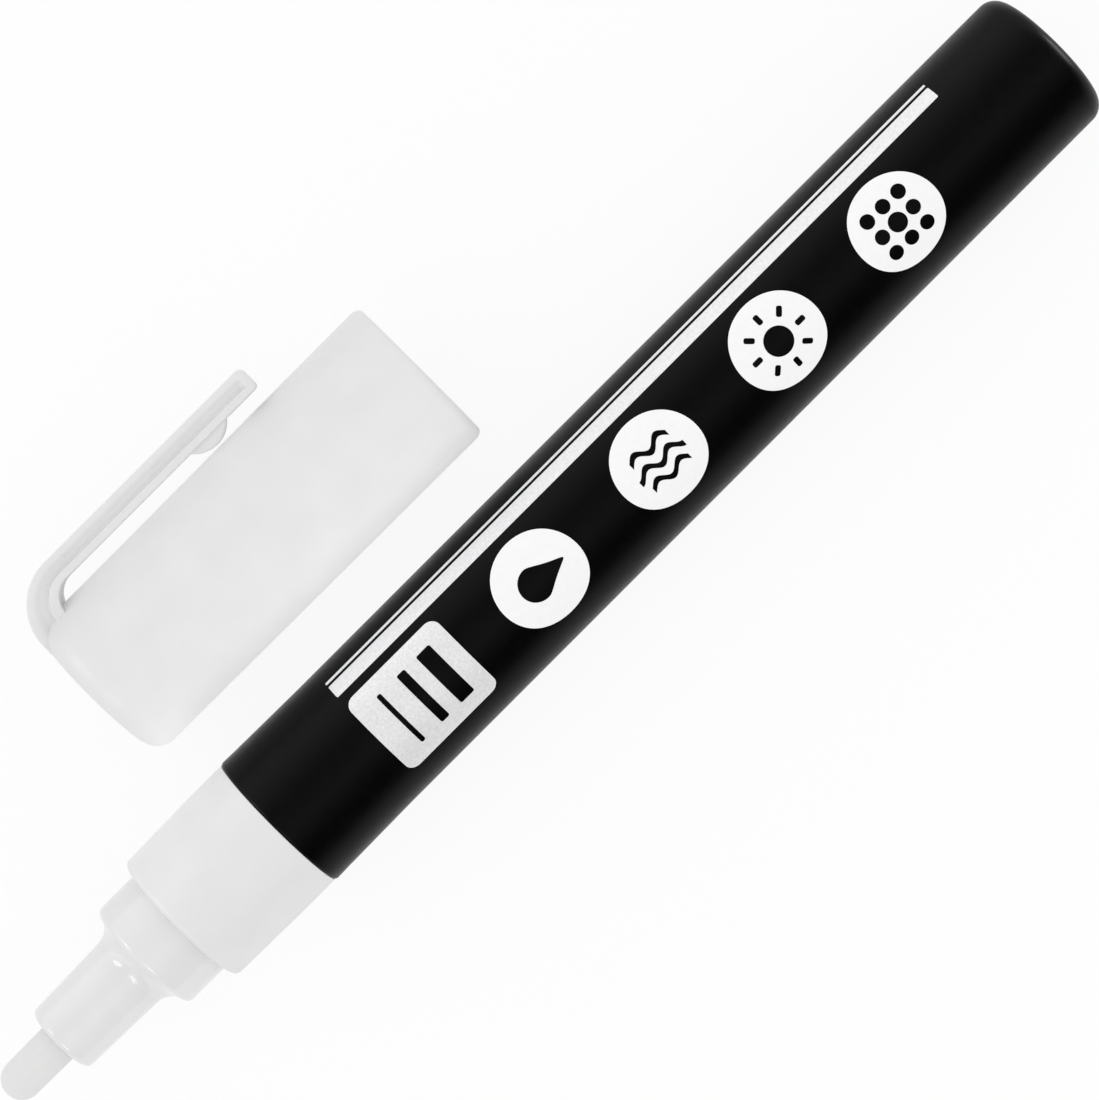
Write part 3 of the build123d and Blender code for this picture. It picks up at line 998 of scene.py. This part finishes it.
def wrapPrint(name, mesh, height, finish):
    reach = max(abs(vert.co.y) for vert in mesh.verts)
    cuts = int(reach / printing["stripWidth"]) + 1
    for cut in range(-cuts, cuts + 1):
        bmesh.ops.bisect_plane(
            mesh,
            geom=mesh.verts[:] + mesh.edges[:] + mesh.faces[:],
            plane_co=(0, cut * printing["stripWidth"], 0),
            plane_no=(0, 1, 0),
        )
    grown = bmesh.ops.extrude_face_region(mesh, geom=mesh.faces[:], use_keep_orig=True)["geom"]
    upper = [part for part in grown if isinstance(part, bmesh.types.BMVert)]
    bmesh.ops.translate(mesh, verts=upper, vec=(0, 0, height + printing["under"]))
    for vert in mesh.verts:
        angle = vert.co.y / barrel["radius"]
        radius = barrel["radius"] - printing["under"] + vert.co.z
        vert.co = (vert.co.x, -radius * sin(angle), radius * cos(angle))
    bmesh.ops.recalc_face_normals(mesh, faces=mesh.faces[:])
    piece = makePiece(name, mesh, penPlace, finish, printing["sharpDegrees"])
    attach(piece, "pen")


def buildPrint():
    row = printing["discRow"]
    discs = bmesh.new()
    for x in printing["discStations"]:
        layDisc(discs, x, row, printing["discRadius"])
    wrapPrint("printDiscs", discs, printing["inkHeight"], "whiteInk")

    silver = bmesh.new()
    start, end = printing["stripeEnds"]
    middle, length = (start + end) / 2, end - start
    stripeRow, width = printing["stripeRow"], printing["stripeWidth"]
    layBar(silver, middle, stripeRow, length, width, printing["stripeRounding"])
    hairline = stripeRow - width / 2 - printing["hairlineGap"]
    hairlineWidth, hairlineRounding = printing["hairlineWidth"], printing["hairlineRounding"]
    layBar(silver, middle, hairline, length, hairlineWidth, hairlineRounding)
    start, end = printing["panelEnds"]
    panelX = (start + end) / 2
    layBar(silver, panelX, row, end - start, printing["panelWidth"], printing["panelRounding"])
    wrapPrint("printSilver", silver, printing["inkHeight"], "silverInk")

    signs = bmesh.new()
    dropX, wavesX, sunX, dotsX = printing["discStations"]
    layDrop(signs, dropX, row)
    layWaves(signs, wavesX, row)
    laySun(signs, sunX, row)
    layDots(signs, dotsX, row)
    widths, gaugeLength = printing["gaugeWidths"], printing["gaugeLength"]
    pitch = (end - start) / (len(widths) + 1)
    for step, width in enumerate(widths):
        x = start + pitch * (step + 1)
        layBar(signs, x, row, width, gaugeLength, printing["gaugeRounding"])
    wrapPrint("printSigns", signs, printing["signHeight"], "blackLacquer")


buildPrint()
print("print wrapped")


# CAD nodes that stay get their finishes
for node, finish in {
    "valve_seat": "greyRubber",
    "valve_plunger": "naturalPlastic",
    "valve_cage": "naturalPlastic",
    "mixing_ball": "groundSteel",
}.items():
    data = frame["nodes"][node].data
    data.materials.clear()
    data.materials.append(finishes[finish])
print("inner pieces finished")


# Stage: a pale floor that keeps a light shadow, and a low white ring round it
studio = {
    "floorSize": 2.0,
    "floorSides": 96,
    "floorDrop": 0.0002,
    "floorColour": 0.93,
    "floorGlowShare": 0.9,
    "glowStrength": 1.0,
    "ringHeight": 0.5,
    "ringGlowShare": 1.0,
    "mirroredBands": (
        (-85, 0.02),
        (-55, 0.02),
        (-38, 0.45),
        (-22, 1.1),
        (-5, 0.65),
        (17, 0.32),
        (40, 1.05),
        (60, 1.7),
        (85, 1.9),
    ),
    "evenBands": ((-90, 0.93), (90, 1.02)),
    "evenLevel": 0.965,
    "endRise": 0.15,
}


def stageFinish(name, glowShare):
    # plain white paper, and even white where the camera or a reflection sees it
    material = bpy.data.materials.new(name)
    material.use_nodes = True
    tree = material.node_tree
    tree.nodes.remove(tree.nodes["Principled BSDF"])
    colour = studio["floorColour"]
    paper = addNode(tree, "ShaderNodeBsdfDiffuse", Color=(colour, colour, colour, 1))
    glow = addNode(tree, "ShaderNodeEmission", Strength=studio["glowStrength"])
    path = addNode(tree, "ShaderNodeLightPath")
    seen = path.outputs["Is Camera Ray"]
    for ray in ("Is Glossy Ray", "Is Transmission Ray"):
        either = tree.nodes.new("ShaderNodeMath")
        either.operation = "MAXIMUM"
        tree.links.new(seen, either.inputs[0])
        tree.links.new(path.outputs[ray], either.inputs[1])
        seen = either.outputs[0]
    share = tree.nodes.new("ShaderNodeMath")
    share.operation = "MULTIPLY"
    share.inputs[1].default_value = glowShare
    tree.links.new(seen, share.inputs[0])
    mix = addNode(tree, "ShaderNodeMixShader")
    tree.links.new(share.outputs[0], mix.inputs["Fac"])
    tree.links.new(paper.outputs[0], mix.inputs[1])
    tree.links.new(glow.outputs[0], mix.inputs[2])
    tree.links.new(mix.outputs[0], tree.nodes["Material Output"].inputs["Surface"])
    material.cycles.emission_sampling = "NONE"
    return material


def addStage(name, mesh, material):
    data = bpy.data.meshes.new(name)
    mesh.to_mesh(data)
    mesh.free()
    data.materials.append(material)
    thing = bpy.data.objects.new(name, data)
    bpy.context.scene.collection.objects.link(thing)
    return thing


def buildStage():
    sides, size = studio["floorSides"], studio["floorSize"]
    level = Matrix.Translation((0, 0, -studio["floorDrop"]))
    floor = bmesh.new()
    bmesh.ops.create_circle(floor, cap_ends=True, segments=sides, radius=size, matrix=level)
    addStage("floor", floor, stageFinish("floorPaper", studio["floorGlowShare"]))
    ring = bmesh.new()
    bmesh.ops.create_circle(ring, segments=sides, radius=size, matrix=level)
    grown = bmesh.ops.extrude_edge_only(ring, edges=ring.edges[:])["geom"]
    upper = [part for part in grown if isinstance(part, bmesh.types.BMVert)]
    bmesh.ops.translate(ring, verts=upper, vec=(0, 0, studio["ringHeight"]))
    backdrop = addStage("backdrop", ring, stageFinish("backdropPaper", studio["ringGlowShare"]))
    backdrop.visible_diffuse = False
    backdrop.visible_glossy = False
    backdrop.visible_shadow = False


def buildWorld():
    # a soft dome: even light on matt surfaces, and a band for each angle round the pen in reflections
    world = bpy.data.worlds.new("studio")
    world.use_nodes = True
    world.cycles.sampling_method = "NONE"
    bpy.context.scene.world = world
    tree = world.node_tree
    place = tree.nodes.new("ShaderNodeTexCoord")
    split = tree.nodes.new("ShaderNodeSeparateXYZ")
    angle = tree.nodes.new("ShaderNodeMath")
    angle.operation = "ARCTAN2"
    spread = addNode(tree, "ShaderNodeMapRange", **{"From Min": -pi / 2, "From Max": pi / 2})
    tree.links.new(place.outputs["Generated"], split.inputs["Vector"])
    tree.links.new(split.outputs["Y"], angle.inputs[0])
    tree.links.new(split.outputs["Z"], angle.inputs[1])
    tree.links.new(angle.outputs[0], spread.inputs["Value"])
    mirrored = tree.nodes["Background"]
    even = tree.nodes.new("ShaderNodeBackground")
    for background, stops in ((mirrored, studio["mirroredBands"]), (even, studio["evenBands"])):
        bands = addBands(tree, stops)
        tree.links.new(spread.outputs["Result"], bands.inputs["Fac"])
        tree.links.new(bands.outputs["Color"], background.inputs["Color"])
    # the even light rises towards both ends of the pen, so that end faces aren't too dark
    level = studio["evenLevel"]
    endLevel = level * (1 + studio["endRise"])
    squared = tree.nodes.new("ShaderNodeMath")
    squared.operation = "MULTIPLY"
    tree.links.new(split.outputs["X"], squared.inputs[0])
    tree.links.new(split.outputs["X"], squared.inputs[1])
    rise = addNode(tree, "ShaderNodeMapRange", **{"To Min": level, "To Max": endLevel})
    tree.links.new(squared.outputs[0], rise.inputs["Value"])
    tree.links.new(rise.outputs["Result"], even.inputs["Strength"])
    path = tree.nodes.new("ShaderNodeLightPath")
    mix = tree.nodes.new("ShaderNodeMixShader")
    tree.links.new(path.outputs["Is Diffuse Ray"], mix.inputs["Fac"])
    tree.links.new(mirrored.outputs[0], mix.inputs[1])
    tree.links.new(even.outputs[0], mix.inputs[2])
    tree.links.new(mix.outputs[0], tree.nodes["World Output"].inputs["Surface"])


def addBands(tree, stops):
    # grey levels by degrees from straight up, minus towards -Y
    bands = tree.nodes.new("ShaderNodeValToRGB")
    elements = bands.color_ramp.elements
    elements.remove(elements[1])
    for number, (degrees, level) in enumerate(stops):
        position = degrees / 180 + 0.5
        element = elements.new(position) if number else elements[0]
        element.position = position
        element.color = (level, level, level, 1)
    return bands


# Lamps: place, aim and size in metres, and watts. A lamp with "lights" reaches those pieces alone.
# Fills stand in for the light that pen and clip keep off the cap and the collar.
capMiddle = capPlace @ Vector((cap["length"] / 2, 0, 0))
clipMiddle = (clip["innerBend"] + clip["length"]) / 2
underClip = capPlace @ Vector((clipMiddle, cap["endRadius"] + clip["gap"], 0))
collarMiddle = penPlace @ Vector((collar["face"] / 2, 0, 0))
rearMiddle = penPlace @ Vector((barrel["length"], 0, 0))
lamps = {
    "glintFrontLeft": {
        "place": (-0.42, 0.36, 0.42),
        "aim": (0, 0, 0),
        "size": (0.3, 0.2),
        "watts": 1.1,
    },
    "glintFrontRight": {
        "place": (-0.44, -0.25, 0.48),
        "aim": (0, 0, 0),
        "size": (0.3, 0.2),
        "watts": 1.1,
    },
    "glintRear": {
        "place": rearMiddle + Vector((0.06, -0.0045, 0.0015)),
        "aim": rearMiddle,
        "size": (0.028, 0.01),
        "watts": 0.025,
        "lights": ("barrelCan",),
    },
    "capLowFill": {
        "place": (capMiddle.x, penAxis.y, 0.009),
        "aim": capMiddle,
        "size": (0.052, 0.008),
        "watts": 0.0022,
        "lights": ("capShell", "innerCap"),
    },
    "capHighFill": {
        "place": (capMiddle.x, penAxis.y - 0.035, 0.06),
        "aim": capMiddle,
        "size": (0.07, 0.03),
        "watts": 0.0056,
        "lights": ("capShell", "innerCap", "pocketClip"),
    },
    "clipFill": {
        "place": underClip,
        "aim": capPlace @ Vector((clipMiddle, 0, 0)),
        "size": (0.0246, 0.006),
        "watts": 0.00024,
        "lights": ("capShell",),
    },
    "collarFill": {
        "place": (collarMiddle.x, collarMiddle.y + 0.018, 0.004),
        "aim": collarMiddle,
        "size": (0.016, 0.006),
        "watts": 0.00024,
        "lights": ("frontCollar",),
    },
}


def buildLamps():
    for name, lamp in lamps.items():
        light = bpy.data.lights.new(name, "AREA")
        light.shape = "RECTANGLE"
        light.size, light.size_y = lamp["size"]
        light.energy = lamp["watts"]
        holder = bpy.data.objects.new(name, light)
        place = Vector(lamp["place"])
        holder.matrix_world = Matrix.Translation(place) @ lampTurn(Vector(lamp["aim"]) - place)
        holder.visible_camera = False
        bpy.context.scene.collection.objects.link(holder)
        # fills light matt shading alone, and glints show in gloss alone
        holder.visible_diffuse = name.endswith("Fill")
        holder.visible_glossy = not holder.visible_diffuse
        if "lights" in lamp:
            lit = bpy.data.collections.new(name)
            for piece in lamp["lights"]:
                lit.objects.link(bpy.data.objects[piece])
            holder.light_linking.receiver_collection = lit
            holder.light_linking.blocker_collection = lit
            light.cycles.use_multiple_importance_sampling = False


def lampTurn(aim):
    # local -Z along the aim and local X level
    back = -aim.normalized()
    level = Vector((0, 0, 1)).cross(back).normalized()
    return Matrix((level, back.cross(level), back)).transposed().to_4x4()


# Camera: straight above the pen, turned so that the pen runs from lower left to upper right
camera = {
    "sensor": 36.0,
    "imageHeight": 1100,
    "focalPixels": 4300,
    "fromRim": 0.035985,
    "fromAxis": 0.00005,
    "aboveAxis": 0.403125,
    "turnDegrees": -45.03,
}


def buildCamera():
    lens = bpy.data.cameras.new("camera")
    lens.sensor_width = camera["sensor"]
    lens.lens = camera["sensor"] * camera["focalPixels"] / camera["imageHeight"]
    holder = bpy.data.objects.new("camera", lens)
    holder.location = (
        rimX + camera["fromRim"],
        penAxis.y + camera["fromAxis"],
        penAxis.z + camera["aboveAxis"],
    )
    holder.rotation_euler = (0, 0, radians(camera["turnDegrees"]))
    bpy.context.scene.collection.objects.link(holder)
    bpy.context.scene.camera = holder


buildStage()
buildWorld()
buildLamps()
buildCamera()
bpy.context.scene.view_settings.view_transform = "Standard"
print("stage, lamps and camera set")
